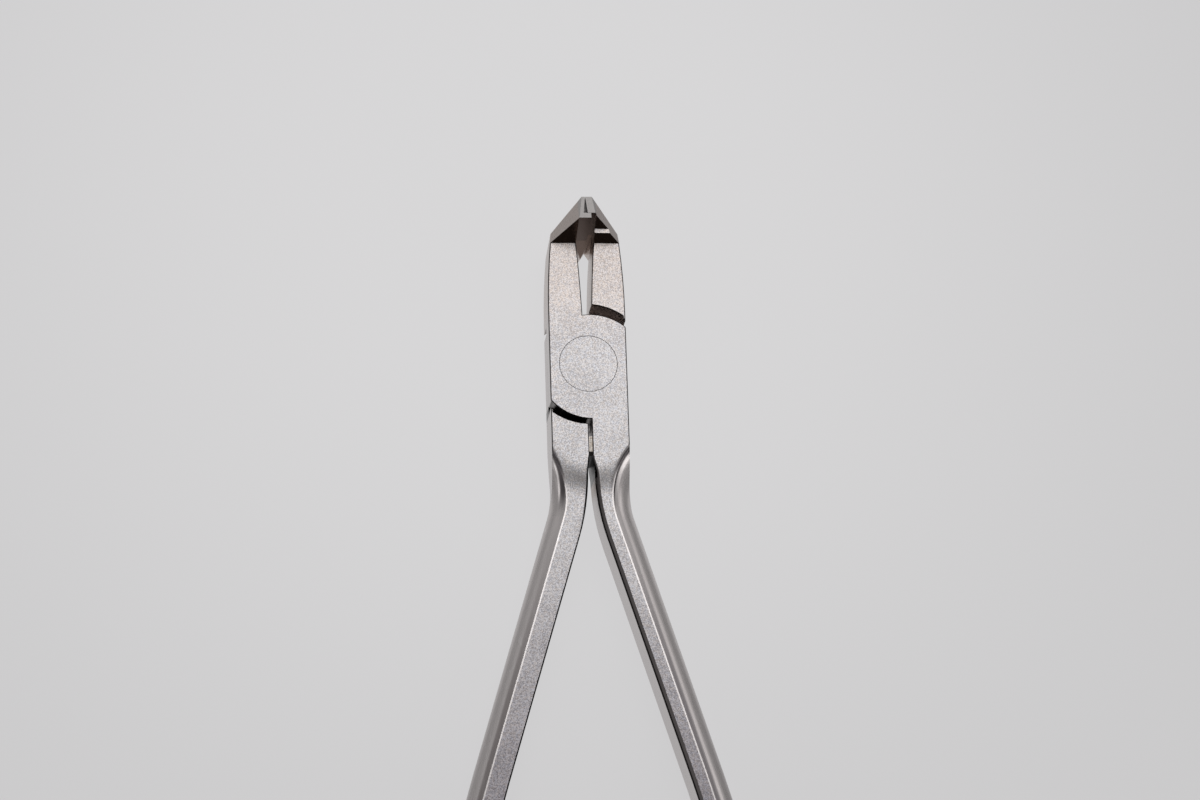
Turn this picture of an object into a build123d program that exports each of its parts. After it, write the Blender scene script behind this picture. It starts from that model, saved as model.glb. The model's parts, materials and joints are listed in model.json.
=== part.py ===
"""Distal end cutting pliers for orthodontic wire.

Two arms cross in a lap joint on one flush pivot.  Each arm runs from a jaw on
one side, through half of the joint's thickness, to a handle on the other side.
The jaws end in a cutting head that is bent up square to the arms and carries
two brazed shear inserts.

Frame, in millimetres: +Y points to the jaws, +Z is up from the back face of the
joint, X is across.  The origin is on the pivot axis, in the plane of the back
face.  The pliers are modelled closed.
"""
from build123d import *
from math import atan2, cos, hypot, radians, sin, sqrt, tan
import os

os.makedirs("parts", exist_ok=True)

# Joint block
joint_thickness = 7.2
joint_half_width = 5.66
lap_gap = 0.05
lap_radius = 8.0
lap_offset_x = 0.45
lap_offset_y = -0.4
lap_corner_round = 0.65
lap_tip_round = 0.35
shoulder_radius = 9.05
shoulder_rim = 0.35
rim_gap = 0.12
edge_break = 0.14

# Pivot
pivot_head_diameter = 8.5
pivot_head_height = 1.5
pivot_shank_diameter = 5.6
pivot_screw_diameter = 3.0
pivot_screw_height = 1.3
pivot_screw_depth = 3.6
pivot_fit_gap = 0.03
pivot_running_gap = 0.04
spanner_hole_diameter = 1.2
spanner_hole_spacing = 5.0
spanner_hole_depth = 0.7
seam_chamfer = 0.05

# Jaws, from the joint to the head
head_start = 18.6
jaw_taper_start = 8.0
jaw_end_half_width = 5.12
gap_half_width_low = 0.66
gap_half_width_mid = 0.86
gap_half_width_high = 1.3
gap_mid = 12.5

# Cutting head, bent up from the jaws
head_height = 5.6
head_lean = 19.2
tip_slope = 15.0
tip_half_width = 1.22
slot_wall_lean = 8.5
ledge_height = 2.3
ledge_depth = 0.62
side_corner_setback = 1.6
side_corner_drop = 0.5
back_corner_setback = 0.1
tip_distal_length = 3.6
tip_distal_half_width = 0.5
tip_distal_drop = 0.75
heel_setback = 2.3
left_web_length = 2.05
left_web_reach = -0.06
right_web_length = 1.1
lip_corner_setback = 0.6
lip_corner_height = 3.0

# Shear inserts
insert_seat_depth = 1.3
insert_braze_gap = 0.03
lip_thickness = 0.84
lip_reach = 0.5
shear_gap = 0.04
blade_lean_in = 0.24
pocket_width = 0.6
blade_gap = 0.04

# Handles
handle_thickness = 6.5
handle_width = 5.2
handle_angle = 17.1
handle_turn_y = -17.8
handle_turn_radius = 16.0
handle_straight_length = 39.2
handle_bow_radius = 140.0
handle_end_straight = 2.0
crotch_half_gap = 0.25
crotch_curve_x = 0.5
crotch_curve_radius = 34.0
stop_top = -10.9
stop_length = 3.0
stop_gap = 0.04
stop_setback = 0.45
dip_centre_y = -9.6
dip_side_margin = 0.04
dip_length = 4.5
inner_edge_break = 0.2
inner_chamfer = 0.6
inner_runout_radius = 21.0
inner_runout_join = 6.0
inner_runout_angle = 28.0

# Outer round of the handles, set off from the flat face by a crease
own_round_width = 3.0
other_round_width = 2.25
round_start_angle = 18.0
round_ridge_radius = 2.5
crease_step_angle = 50.0
crease_bevel_setback = 0.12
crease_bevel_angle = 8.0
runout_radius = 8.25
runout_join = 16.5
runout_angle = 62.0

mid_plane = joint_thickness / 2
dip_radius = joint_half_width + dip_side_margin
clear = 3.0
close = 0.001
head_top = joint_thickness + head_height
reach = 200.0


def beyond(point, normal):
    """All the space on one side of a plane, as a large block to cut with."""
    plane = Plane(origin=point, z_dir=normal)
    return plane * Box(reach, reach, reach, align=(Align.CENTER, Align.CENTER, Align.MIN))


def block(low, high):
    """A block between two opposite corners."""
    size = Vector(*high) - Vector(*low)
    corner = (Align.MIN, Align.MIN, Align.MIN)
    return Pos(*low) * Box(size.X, size.Y, size.Z, align=corner)


def heading(degrees):
    """Heading of an edge of the right handle that leans out by an angle, away from the jaws."""
    return (sin(radians(degrees)), -cos(radians(degrees)))


def handle_outer_edge(start_angle=0.0):
    """The outer edge of the right handle, from a heading within its first bend to its end."""
    turned = radians(start_angle)
    start_x = joint_half_width + handle_turn_radius * (1 - cos(turned))
    start_y = handle_turn_y - handle_turn_radius * sin(turned)
    bend_angle = handle_angle - start_angle
    bend = JernArc((start_x, start_y), heading(start_angle), handle_turn_radius, bend_angle)
    straight = Line(bend @ 1, bend @ 1 + Vector(*heading(handle_angle)) * handle_straight_length)
    bow = JernArc(straight @ 1, heading(handle_angle), handle_bow_radius, -handle_angle)
    tail = Line(bow @ 1, bow @ 1 + Vector(0, -handle_end_straight))
    return [bend, straight, bow, tail]


def handle_inner_edge():
    """The inner edge of the right handle, from the stop to the end.

    Past the crotch curve it is parallel to the outer edge.
    """
    bend, straight, bow, tail = handle_outer_edge()
    lean = radians(handle_angle)
    inward = Vector(-cos(lean), -sin(lean)) * handle_width
    on_line = straight @ 0 + inward
    curve_end_x = crotch_curve_x + crotch_curve_radius * (1 - cos(lean))
    curve_end_y = on_line.Y - (curve_end_x - on_line.X) / tan(lean)
    curve_start_y = curve_end_y + crotch_curve_radius * sin(lean)
    curve_start = (crotch_curve_x, curve_start_y)
    lead = Line((crotch_half_gap, stop_top - stop_length), curve_start)
    curve = JernArc(curve_start, heading(0), crotch_curve_radius, handle_angle)
    inner_straight = Line(curve @ 1, straight @ 1 + inward)
    inner_radius = handle_bow_radius - handle_width
    inner_bow = JernArc(inner_straight @ 1, heading(handle_angle), inner_radius, -handle_angle)
    inner_tail = Line(inner_bow @ 1, inner_bow @ 1 + Vector(0, -handle_end_straight))
    return [lead, curve, inner_straight, inner_bow, inner_tail]


def handle_end():
    """The half circle that ends the right handle."""
    outer_end = handle_outer_edge()[-1] @ 1
    inner_end = handle_inner_edge()[-1] @ 1
    middle = (outer_end + inner_end) * 0.5 + Vector(0, -handle_width / 2)
    return ThreePointArc(outer_end, middle, inner_end)


def handle_face():
    """Plan of the right handle, from the level of the pivot axis down to the rounded end."""
    outer = handle_outer_edge()
    inner = handle_inner_edge()
    top_and_side = Polyline((crotch_half_gap, 0), (joint_half_width, 0), outer[0] @ 0)
    stop = Polyline(
        inner[0] @ 0,
        (stop_gap / 2, stop_top - stop_length),
        (stop_gap / 2, stop_top),
        (crotch_half_gap, stop_top),
        (crotch_half_gap, 0),
    )
    edges = [top_and_side, *outer, handle_end(), *inner, stop]
    return make_face([edge for part in edges for edge in part.edges()])


def jaw_face():
    """Plan of the left jaw, from the level of the pivot axis up to the start of the head."""
    side = Line((-joint_half_width, 0), (-joint_half_width, jaw_taper_start))
    taper = TangentArc(side @ 1, (-jaw_end_half_width, head_start), tangent=(0, 1))
    top = Line(taper @ 1, (-gap_half_width_high, head_start))
    flare_slope = (gap_half_width_mid - gap_half_width_low) / (gap_mid - lap_radius)
    flare = TangentArc(
        (-gap_half_width_mid, gap_mid),
        (-gap_half_width_high, head_start),
        tangent=(-flare_slope, 1),
    )
    wall = Polyline(
        (-gap_half_width_mid, gap_mid),
        (-gap_half_width_low, lap_radius),
        (-gap_half_width_low, 0),
        (-joint_half_width, 0),
    )
    return make_face([side, taper, top, flare, *wall.edges()])


def lap_face():
    """Plan of the half joint: a round plate trimmed to the width of the joint."""
    plate = Pos(lap_offset_x, lap_offset_y) * Circle(lap_radius)
    return plate & Rectangle(2 * joint_half_width, 4 * lap_radius)


def lap_corner_height(side):
    """Height at which the lap arc meets a side of the joint, measured from the arc's centre."""
    return sqrt(lap_radius**2 - (joint_half_width - side * lap_offset_x) ** 2)


def arm_face():
    """Plan of the whole front arm: left jaw, lap plate and right handle."""
    face = handle_face() + jaw_face() + lap_face()
    lower = (-joint_half_width, lap_offset_y - lap_corner_height(-1))
    upper = (joint_half_width, lap_offset_y + lap_corner_height(1))
    lower_corner = face.vertices().sort_by_distance(lower)[0]
    face = fillet(lower_corner, lap_corner_round)
    upper_corner = face.vertices().sort_by_distance(upper)[0]
    return fillet(upper_corner, lap_tip_round)


def shoulder_pocket():
    """Room for the other arm's lap plate, with a thin rim of each shoulder left at the sides."""
    corner = hypot(joint_half_width, abs(lap_offset_y) + lap_corner_height(1))
    rim_radius = corner + rim_gap
    middle = Circle(shoulder_radius) & Rectangle(
        2 * (joint_half_width - shoulder_rim), 4 * shoulder_radius
    )
    return middle + Circle(rim_radius)


def dip_cutter():
    """What lies above the handle's front face, which dips smoothly from the joint's.

    The dip starts on an arc, so the joint's flat face ends rounded towards the handles.
    """
    start = (dip_radius, joint_thickness)
    end = (dip_radius + dip_length, mid_plane + handle_thickness / 2)
    slide = Spline(start, end, tangents=((1, 0), (1, 0)))
    rest = Polyline(end, (reach, end[1]), (reach, head_top), (dip_radius, head_top), start)
    section = Plane.XZ * make_face([slide, *rest.edges()])
    return Pos(0, dip_centre_y) * revolve(section, axis=Axis.Z, revolution_arc=-180)


def swept_outside(profile):
    """A profile swept along the outer edge of the right handle.

    Near the joint its path swings out, so that what it cuts runs out into the side
    of the joint.
    """
    join = radians(runout_join)
    start = radians(runout_angle)
    edges = handle_outer_edge(runout_join)
    joined = edges[0] @ 0
    centre = joined + Vector(cos(join), sin(join)) * runout_radius
    first = centre - Vector(cos(start), -sin(start)) * runout_radius
    runout = JernArc(first, heading(-runout_angle), runout_radius, runout_angle + runout_join)
    past_end = Line(edges[-1] @ 1, edges[-1] @ 1 + Vector(0, -handle_width))
    path = Pos(0, 0, mid_plane) * Wire([*runout.edges(), *[e.edge() for e in edges], *past_end.edges()])
    across = Plane(origin=path @ 0, x_dir=(cos(start), -sin(start), 0), z_dir=path % 0)
    return sweep(across * profile, path=path)


def round_cutter():
    """What lies outside the rounded outer side of the right handle."""
    half = handle_thickness / 2
    own_crease = Vector(-own_round_width, half)
    other_crease = Vector(-other_round_width, -half)
    slope = radians(round_start_angle)
    step = radians(crease_step_angle)
    rise = clear / tan(step)
    upper = TangentArc(own_crease, (0, 0), tangent=(cos(slope), -sin(slope)))
    lower = TangentArc(other_crease, (0, 0), tangent=(cos(slope), sin(slope)))
    frame = Polyline(
        own_crease,
        (own_crease.X - rise, half + clear),
        (clear, half + clear),
        (clear, -half - clear),
        (other_crease.X - rise, -half - clear),
        other_crease,
    )
    profile = make_face([*upper.edges(), *lower.edges(), *frame.edges()])
    ridge = profile.vertices().sort_by_distance((0, 0))[0]
    return swept_outside(fillet(ridge, round_ridge_radius))


def crease_bevel_cutter(round_width):
    """What lies above the narrow bevel on the crease, in the front face of the right handle."""
    tilt = radians(crease_bevel_angle)
    top = handle_thickness / 2
    start = Vector(-round_width - crease_bevel_setback, top)
    end = start + Vector(cos(tilt), -sin(tilt)) * round_width
    rise = clear / tan(radians(crease_step_angle))
    outline = Polyline(start, end, (end.X, top + clear), (start.X - rise, top + clear), close=True)
    return swept_outside(make_face(outline.edges()))


def inner_chamfer_cutter():
    """What lies past the broad chamfer on the inner edge of the right handle.

    Near the joint its path swings out, so that the chamfer runs out at the crotch.
    """
    join = radians(inner_runout_join)
    start = radians(inner_runout_angle)
    curve, straight, bow, tail = handle_inner_edge()[1:]
    curve_centre = curve @ 0 + Vector(crotch_curve_radius, 0)
    joined = curve_centre - Vector(cos(join), sin(join)) * crotch_curve_radius
    runout_centre = joined - Vector(cos(join), sin(join)) * inner_runout_radius
    first = runout_centre + Vector(cos(start), sin(start)) * inner_runout_radius
    turn = inner_runout_angle - inner_runout_join
    runout = JernArc(first, heading(inner_runout_angle), inner_runout_radius, -turn)
    rest_of_curve = JernArc(
        joined, heading(inner_runout_join), crotch_curve_radius, handle_angle - inner_runout_join
    )
    past_end = Line(tail @ 0, tail @ 1 + Vector(0, -handle_width))
    run = [runout, rest_of_curve, straight, bow, past_end]
    path = Pos(0, 0, mid_plane + handle_thickness / 2) * Wire([part.edge() for part in run])
    low = -inner_chamfer - clear
    outline = Polyline((-clear, low), (inner_chamfer + clear, clear), (-clear, clear), close=True)
    across = Plane(origin=path @ 0, x_dir=(cos(start), sin(start), 0), z_dir=path % 0)
    return sweep(across * make_face(outline.edges()), path=path)


def joint_rim(arm, height):
    """The edges of the joint and the jaw in one of its flat faces, except where the head stands."""
    rim = []
    for edge in arm.edges():
        box = edge.bounding_box()
        in_face = max(abs(box.min.Z - height), abs(box.max.Z - height)) < close
        at_head = box.min.Y > head_start - close
        beside_stop = abs(box.max.X - crotch_half_gap) < close
        above_stop = box.max.Y > stop_top + close
        if in_face and not at_head and (above_stop or beside_stop):
            rim.append(edge)
    return rim


def handle_inner_rim(arm, own_face):
    """The inner edges of the handle, on its own face of the joint or on the other one."""
    route = [*handle_inner_edge(), handle_end()]
    rim = []
    for edge in arm.edges():
        middle = edge @ 0.5
        height = middle.Z - mid_plane if own_face else mid_plane - middle.Z
        below = Vector(middle.X, middle.Y)
        if height < handle_thickness / 2 - close:
            continue
        if min(line.distance_to(below) for line in route) < close:
            rim.append(edge)
    return rim


def stop_recess():
    """Room above the stop, which lies below the face of the joint."""
    foot = (0, stop_top - stop_length, joint_thickness - stop_setback)
    return block(foot, (crotch_half_gap, stop_top, head_top))


def arm_without_head():
    """The front arm as far as the head, in place."""
    arm = extrude(arm_face(), joint_thickness)
    pocket = extrude(shoulder_pocket(), mid_plane + lap_gap / 2)
    arm -= pocket
    top_dip = dip_cutter()
    arm -= top_dip
    arm -= mirror(top_dip, about=Plane.XY.offset(mid_plane))
    arm -= round_cutter()
    arm = chamfer(handle_inner_rim(arm, True), inner_edge_break)
    arm = chamfer(handle_inner_rim(arm, False), inner_edge_break)
    arm -= inner_chamfer_cutter()
    arm -= crease_bevel_cutter(own_round_width)
    arm -= mirror(crease_bevel_cutter(other_round_width), about=Plane.XY.offset(mid_plane))
    arm -= stop_recess()
    arm -= mirror(stop_recess(), about=Plane.XY.offset(mid_plane))
    arm = chamfer(joint_rim(arm, joint_thickness), edge_break)
    return chamfer(joint_rim(arm, 0), edge_break)


def head_point(outward, setback, height):
    """A place on the head: across, back from the start of the head, up from the front face."""
    return Vector(outward, head_start + setback, joint_thickness + height)


def in_front_of_wall(setback, lean):
    """Space on the joint's side of a wall that leans away from the joint as it rises."""
    lean = radians(lean)
    return beyond(head_point(0, setback, head_height), (0, -cos(lean), sin(lean)))


def behind_wall(setback, lean):
    """Space on the tip's side of such a wall."""
    lean = radians(lean)
    return beyond(head_point(0, setback, head_height), (0, cos(lean), -sin(lean)))


def outside_three(first, second, third, inside):
    """Space beyond the plane through three points, on the side away from an inside point."""
    normal = (second - first).cross(third - first)
    if normal.dot(inside - first) > 0:
        normal = normal * -1
    return beyond(first, normal)


tip_setback = head_height * tan(radians(head_lean))
distal_setback = tip_setback + tip_distal_length
taper_drop = joint_half_width - jaw_end_half_width
jaw_end_angle = 2 * atan2(taper_drop, head_start - jaw_taper_start)


def head_form():
    """The outer form of the right half of the head, up to the reach of the lip past the centre."""
    end = head_start + distal_setback
    form = block((-lip_reach, head_start, 0), (jaw_end_half_width, end, head_top))
    inside = head_point(0, side_corner_setback / 2, 0)
    tip_corner = head_point(tip_half_width, tip_setback, head_height)
    face_corner = head_point(jaw_end_half_width, 0, 0)
    side_half_width = jaw_end_half_width - side_corner_setback * tan(jaw_end_angle)
    side_corner = head_point(side_half_width, side_corner_setback, -side_corner_drop)
    back_corner = head_point(jaw_end_half_width, back_corner_setback, -joint_thickness)
    slope = radians(tip_slope)
    tip_fall = tip_distal_length * tan(slope)
    distal_height = head_height - tip_fall - tip_distal_drop
    distal_corner = head_point(tip_distal_half_width, distal_setback, distal_height)
    form -= beyond(face_corner, (cos(jaw_end_angle), sin(jaw_end_angle), 0))
    form -= outside_three(tip_corner, face_corner, side_corner, inside)
    form -= outside_three(distal_corner, side_corner, back_corner, inside)
    form -= beyond(head_point(0, tip_setback, head_height), (0, sin(slope), cos(slope)))
    form -= beyond((0, head_start + heel_setback, 0), (0, 1, -1))
    form -= in_front_of_wall(tip_setback, head_lean)
    return form


def inside_blade(near_edge, far_edge):
    """Space on the centre's side of a blade, from its shear edge to its far edge."""
    along = head_point(far_edge, distal_setback, 0) - head_point(
        near_edge, tip_setback + lip_thickness, 0
    )
    point = head_point(far_edge, distal_setback, 0)
    return beyond(point, (-along.Y, along.X, 0))


def slot_space():
    """The slot between the jaws, carried on through the head."""
    return block((-reach, 0, -clear), (gap_half_width_high, reach, head_top + clear))


def wall_point(outward, setback, height):
    """A place on a slot wall: across, wall's setback at its top, up from the back face."""
    drop = (head_top - height) * tan(radians(slot_wall_lean))
    return Vector(outward, head_start + setback - drop, height)


def throat_web(setback, length, end):
    """A web in the right corner of the slot's end wall.

    It is widest at the back face and runs out at the insert's seat.
    """
    side = gap_half_width_high
    seat = joint_thickness - insert_seat_depth
    foot = wall_point(side, setback, 0)
    low_side = foot - Vector(0, length, 0)
    low_end = wall_point(end, setback, 0)
    top = wall_point(side, setback, seat)
    web = block((end, low_side.Y, 0), (side, top.Y + lip_thickness, seat))
    web -= outside_three(low_side, low_end, top, foot)
    return web & in_front_of_wall(setback + lip_thickness / 2, slot_wall_lean)


def right_head():
    """The right half of the head, with its ledge and its straight blade."""
    head = head_form()
    above_ledge = block((-reach, 0, joint_thickness + ledge_height), (reach, reach, reach))
    head -= in_front_of_wall(tip_setback + ledge_depth, head_lean) & above_ledge
    shear_setback = tip_setback + lip_thickness + shear_gap
    head -= in_front_of_wall(shear_setback, slot_wall_lean) & slot_space()
    head -= inside_blade(blade_gap / 2, blade_gap / 2 - blade_lean_in)
    return head + throat_web(shear_setback, right_web_length, lip_reach + 2 * shear_gap)


def left_head():
    """The left half of the head, built on the right, with the lip that passes the centre."""
    head = head_form()
    head -= in_front_of_wall(tip_setback, slot_wall_lean) & slot_space()
    behind_lip = behind_wall(tip_setback + lip_thickness, slot_wall_lean)
    head -= inside_blade(pocket_width, blade_lean_in + blade_gap / 2) & behind_lip
    corner_start = wall_point(left_web_reach, tip_setback, 0)
    corner_end = wall_point(-lip_reach, tip_setback, 0) + Vector(0, lip_corner_setback, 0)
    corner_top = wall_point(-lip_reach, tip_setback, lip_corner_height)
    head -= outside_three(corner_start, corner_end, corner_top, head_point(0, heel_setback, 0))
    return head + throat_web(tip_setback, left_web_length, left_web_reach)


def seat_space(gap):
    """The seat of an insert: the middle of the head, down to just below the front face."""
    bottom = joint_thickness - insert_seat_depth + gap
    return block((-reach, 0, bottom), (gap_half_width_high, reach, head_top + clear))


def cylinder(diameter, bottom, top):
    """A round on the pivot axis between two heights."""
    size = (Align.CENTER, Align.CENTER, Align.MIN)
    return Pos(0, 0, bottom) * Cylinder(diameter / 2, top - bottom, align=size)


def break_rim(disc, height):
    """A disc with the edge of one of its faces broken."""
    rim = [edge for edge in disc.edges() if abs(edge.center().Z - height) < close]
    return chamfer([edge for edge in rim if edge.geom_type == GeomType.CIRCLE], seam_chamfer)


def to_left(part):
    """A part mirrored from right to left."""
    return mirror(part, about=Plane.YZ)


head_seat = joint_thickness - pivot_head_height
half_turn = Axis((0, 0, mid_plane), (0, 1, 0))
plain_arm = arm_without_head()

# Front arm: left jaw, front half of the joint, right handle
left_half = left_head()
front_arm = plain_arm + to_left(left_half - seat_space(0))
front_arm -= cylinder(pivot_shank_diameter + 2 * pivot_fit_gap, 0, joint_thickness)
front_arm -= cylinder(pivot_head_diameter + 2 * pivot_fit_gap, head_seat, joint_thickness)
left_insert = to_left(left_half & seat_space(insert_braze_gap))

# Back arm: right jaw, back half of the joint, left handle
right_half = right_head()
back_arm = plain_arm.rotate(half_turn, 180) + (right_half - seat_space(0))
back_arm -= cylinder(pivot_shank_diameter + 2 * pivot_running_gap, 0, joint_thickness)
back_arm -= cylinder(pivot_head_diameter + 2 * pivot_running_gap, 0, pivot_screw_height)
right_insert = right_half & seat_space(insert_braze_gap)

# Pivot bolt: a flush head over a shank that both arms turn on
pivot_bolt = break_rim(cylinder(pivot_head_diameter, head_seat, joint_thickness), joint_thickness)
pivot_bolt += cylinder(pivot_shank_diameter, pivot_screw_height, head_seat)
screw_end = pivot_screw_height + pivot_screw_depth
pivot_bolt -= cylinder(pivot_screw_diameter + 2 * pivot_fit_gap, 0, screw_end + pivot_fit_gap)

# Pivot screw: closes the joint from the back, with two holes for a pin spanner
pivot_screw = break_rim(cylinder(pivot_head_diameter, 0, pivot_screw_height), 0)
pivot_screw += cylinder(pivot_screw_diameter, 0, screw_end)
hole = cylinder(spanner_hole_diameter, -clear, spanner_hole_depth)
for side in (-1, 1):
    pivot_screw -= Pos(side * spanner_hole_spacing / 2, 0, 0) * hole

nodes = {
    "front_arm": front_arm,
    "back_arm": back_arm,
    "left_cutting_insert": left_insert,
    "right_cutting_insert": right_insert,
    "pivot_bolt": pivot_bolt,
    "pivot_screw": pivot_screw,
}
for name, part in nodes.items():
    export_step(part, f"parts/{name}.step")
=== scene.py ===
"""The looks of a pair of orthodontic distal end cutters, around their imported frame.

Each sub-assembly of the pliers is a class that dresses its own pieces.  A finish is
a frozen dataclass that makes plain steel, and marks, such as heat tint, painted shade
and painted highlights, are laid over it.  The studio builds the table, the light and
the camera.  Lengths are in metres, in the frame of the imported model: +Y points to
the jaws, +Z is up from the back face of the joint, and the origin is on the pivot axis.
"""
from __future__ import annotations

import json
import logging
from dataclasses import dataclass, field, replace
from enum import Enum
from math import radians

import bpy
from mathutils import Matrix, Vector

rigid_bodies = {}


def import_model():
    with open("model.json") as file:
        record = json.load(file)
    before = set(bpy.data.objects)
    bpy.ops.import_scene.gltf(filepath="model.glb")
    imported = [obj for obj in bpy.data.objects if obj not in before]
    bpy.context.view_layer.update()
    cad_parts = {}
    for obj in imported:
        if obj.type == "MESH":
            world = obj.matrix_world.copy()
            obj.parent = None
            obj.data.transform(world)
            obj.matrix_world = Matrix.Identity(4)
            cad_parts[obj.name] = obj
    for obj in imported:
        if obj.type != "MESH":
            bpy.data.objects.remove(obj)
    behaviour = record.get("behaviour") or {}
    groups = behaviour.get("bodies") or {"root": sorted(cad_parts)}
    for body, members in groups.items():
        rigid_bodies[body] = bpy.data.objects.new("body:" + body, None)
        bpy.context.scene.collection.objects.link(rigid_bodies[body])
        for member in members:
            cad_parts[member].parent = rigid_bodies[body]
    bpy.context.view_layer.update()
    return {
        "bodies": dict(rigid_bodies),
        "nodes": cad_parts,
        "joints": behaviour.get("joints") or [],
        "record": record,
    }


Triple = tuple[float, float, float]
Socket = bpy.types.NodeSocket

LOG = logging.getLogger("pliers")
PATTERN_MIDDLE = 0.5
WHITE: Triple = (1.0, 1.0, 1.0)
EFFECT_INPUTS = {"Place": "NodeSocketVector", "Strength": "NodeSocketFloat"}
MARK_INPUTS = {"Place": "NodeSocketVector", "Facing": "NodeSocketVector"}
LEFT_CREASE_CENTRE: Triple = (0.01642, -0.01885, 0.0)


class Piece(Enum):
    """The solid pieces of the pliers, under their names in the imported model."""

    FRONT_ARM = "front_arm"
    BACK_ARM = "back_arm"
    LEFT_INSERT = "left_cutting_insert"
    RIGHT_INSERT = "right_cutting_insert"
    PIVOT_BOLT = "pivot_bolt"
    PIVOT_SCREW = "pivot_screw"


class Effect(Enum):
    """The surface effects that several finishes share."""

    BLAST = "fine blast"
    BRUSH = "lengthwise polish"
    SCRATCH = "fine scratches"
    HUE = "hue drift"


@dataclass(frozen=True)
class Step:
    """A smooth step: where it starts and ends, and its value before and after."""

    low: float
    high: float
    before: float = 0.0
    after: float = 1.0


def fall(low: float, high: float) -> Step:
    """Makes a step that falls from one to zero between two values."""
    return Step(low, high, 1.0, 0.0)


def grey(level: float) -> Triple:
    """Makes a colour without a hue."""
    return level, level, level


class NodeSheet:
    """A node tree with short ways to add nodes, sums and links."""

    def __init__(self, tree: bpy.types.NodeTree) -> None:
        """Takes the tree to work on.

        Args:
            tree: The node tree of a material, a world or a group.
        """
        self.tree = tree

    def add(self, kind: str, **settings: object) -> bpy.types.Node:
        """Adds a node.

        Args:
            kind: The node's type.
            **settings: The node's own settings.

        Returns:
            The new node.
        """
        node = self.tree.nodes.new(kind)
        for name, value in settings.items():
            setattr(node, name, value)
        return node

    def feed(self, socket: Socket, value: object) -> None:
        """Links a socket to its source, or sets the socket's own value.

        Args:
            socket: The input socket.
            value: An output socket, a number, a vector or a colour.
        """
        if isinstance(value, bpy.types.NodeSocket):
            self.tree.links.new(value, socket)
        elif socket.type == "RGBA":
            socket.default_value = (*value, 1.0)
        else:
            socket.default_value = value

    def compute(self, operation: str, *terms: object) -> Socket:
        """Adds a math node.

        Args:
            operation: The operation's name.
            *terms: Sockets or numbers.

        Returns:
            The result's socket.
        """
        node = self.add("ShaderNodeMath", operation=operation)
        for socket, term in zip(node.inputs, terms):
            self.feed(socket, term)
        return node.outputs[0]

    def product(self, *shares: Socket) -> Socket:
        """Multiplies shares, so that the result holds only where all of them hold.

        Args:
            *shares: The sockets of the shares.

        Returns:
            The product's socket.
        """
        result = shares[0]
        for share in shares[1:]:
            result = self.compute("MULTIPLY", result, share)
        return result

    def step(self, value: Socket, step: Step) -> Socket:
        """Adds a smooth step.

        Args:
            value: The socket that is measured.
            step: The step's place and values.

        Returns:
            The result's socket.
        """
        node = self.add("ShaderNodeMapRange", interpolation_type="SMOOTHSTEP")
        self.feed(node.inputs["Value"], value)
        self.feed(node.inputs["From Min"], step.low)
        self.feed(node.inputs["From Max"], step.high)
        self.feed(node.inputs["To Min"], step.before)
        self.feed(node.inputs["To Max"], step.after)
        return node.outputs["Result"]

    def mix(self, kind: str, share: Socket, first: object, second: object, **settings: object) -> Socket:
        """Adds a mix node, whose identifiers for its sockets end in the kind of value.

        Args:
            kind: The kind of value.
            share: The share of the second value.
            first: A value or its socket.
            second: A value or its socket.
            **settings: The node's own settings.

        Returns:
            The mixed value's socket.
        """
        node = self.add("ShaderNodeMix", **settings)
        sockets = {socket.identifier: socket for socket in (*node.inputs, *node.outputs)}
        self.feed(sockets["Factor_Float"], share)
        self.feed(sockets[f"A_{kind}"], first)
        self.feed(sockets[f"B_{kind}"], second)
        return sockets[f"Result_{kind}"]

    def blend(self, share: Socket, first: object, second: object, how: str = "MIX") -> Socket:
        """Blends two colours, without passing white.

        Args:
            share: The share of the second colour.
            first: A colour or its socket.
            second: A colour or its socket.
            how: The name of the blend.

        Returns:
            The blended colour's socket.
        """
        return self.mix("Color", share, first, second, data_type="RGBA", blend_type=how, clamp_result=True)

    def blend_number(self, share: Socket, first: object, second: object) -> Socket:
        """Blends two numbers.

        Args:
            share: The share of the second number.
            first: A number or its socket.
            second: A number or its socket.

        Returns:
            The blended number's socket.
        """
        return self.mix("Float", share, first, second, data_type="FLOAT")

    def split(self, vector: Socket) -> tuple[Socket, ...]:
        """Splits a vector.

        Args:
            vector: The vector's socket.

        Returns:
            The sockets of its three parts.
        """
        node = self.add("ShaderNodeSeparateXYZ")
        self.feed(node.inputs[0], vector)
        return tuple(node.outputs)

    def join(self, *parts: object) -> Socket:
        """Joins three numbers into a vector.

        Args:
            *parts: The three parts, each a socket or a number.

        Returns:
            The vector's socket.
        """
        node = self.add("ShaderNodeCombineXYZ")
        for socket, part in zip(node.inputs, parts):
            self.feed(socket, part)
        return node.outputs[0]

    def distance(self, vector: Socket, place: Triple) -> Socket:
        """Measures the distance from a place.

        Args:
            vector: The vector's socket.
            place: The fixed place.

        Returns:
            The distance's socket.
        """
        node = self.add("ShaderNodeVectorMath", operation="DISTANCE")
        self.feed(node.inputs[0], vector)
        self.feed(node.inputs[1], place)
        return node.outputs["Value"]

    def stretched(self, vector: Socket, factors: Triple, turn: float = 0.0) -> Socket:
        """Scales a vector, and turns it about Z.

        Args:
            vector: The vector's socket.
            factors: The scale along each axis.
            turn: The turn about Z, in radians.

        Returns:
            The new vector's socket.
        """
        node = self.add("ShaderNodeMapping")
        self.feed(node.inputs["Vector"], vector)
        self.feed(node.inputs["Scale"], factors)
        self.feed(node.inputs["Rotation"], (0.0, 0.0, turn))
        return node.outputs[0]

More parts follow.
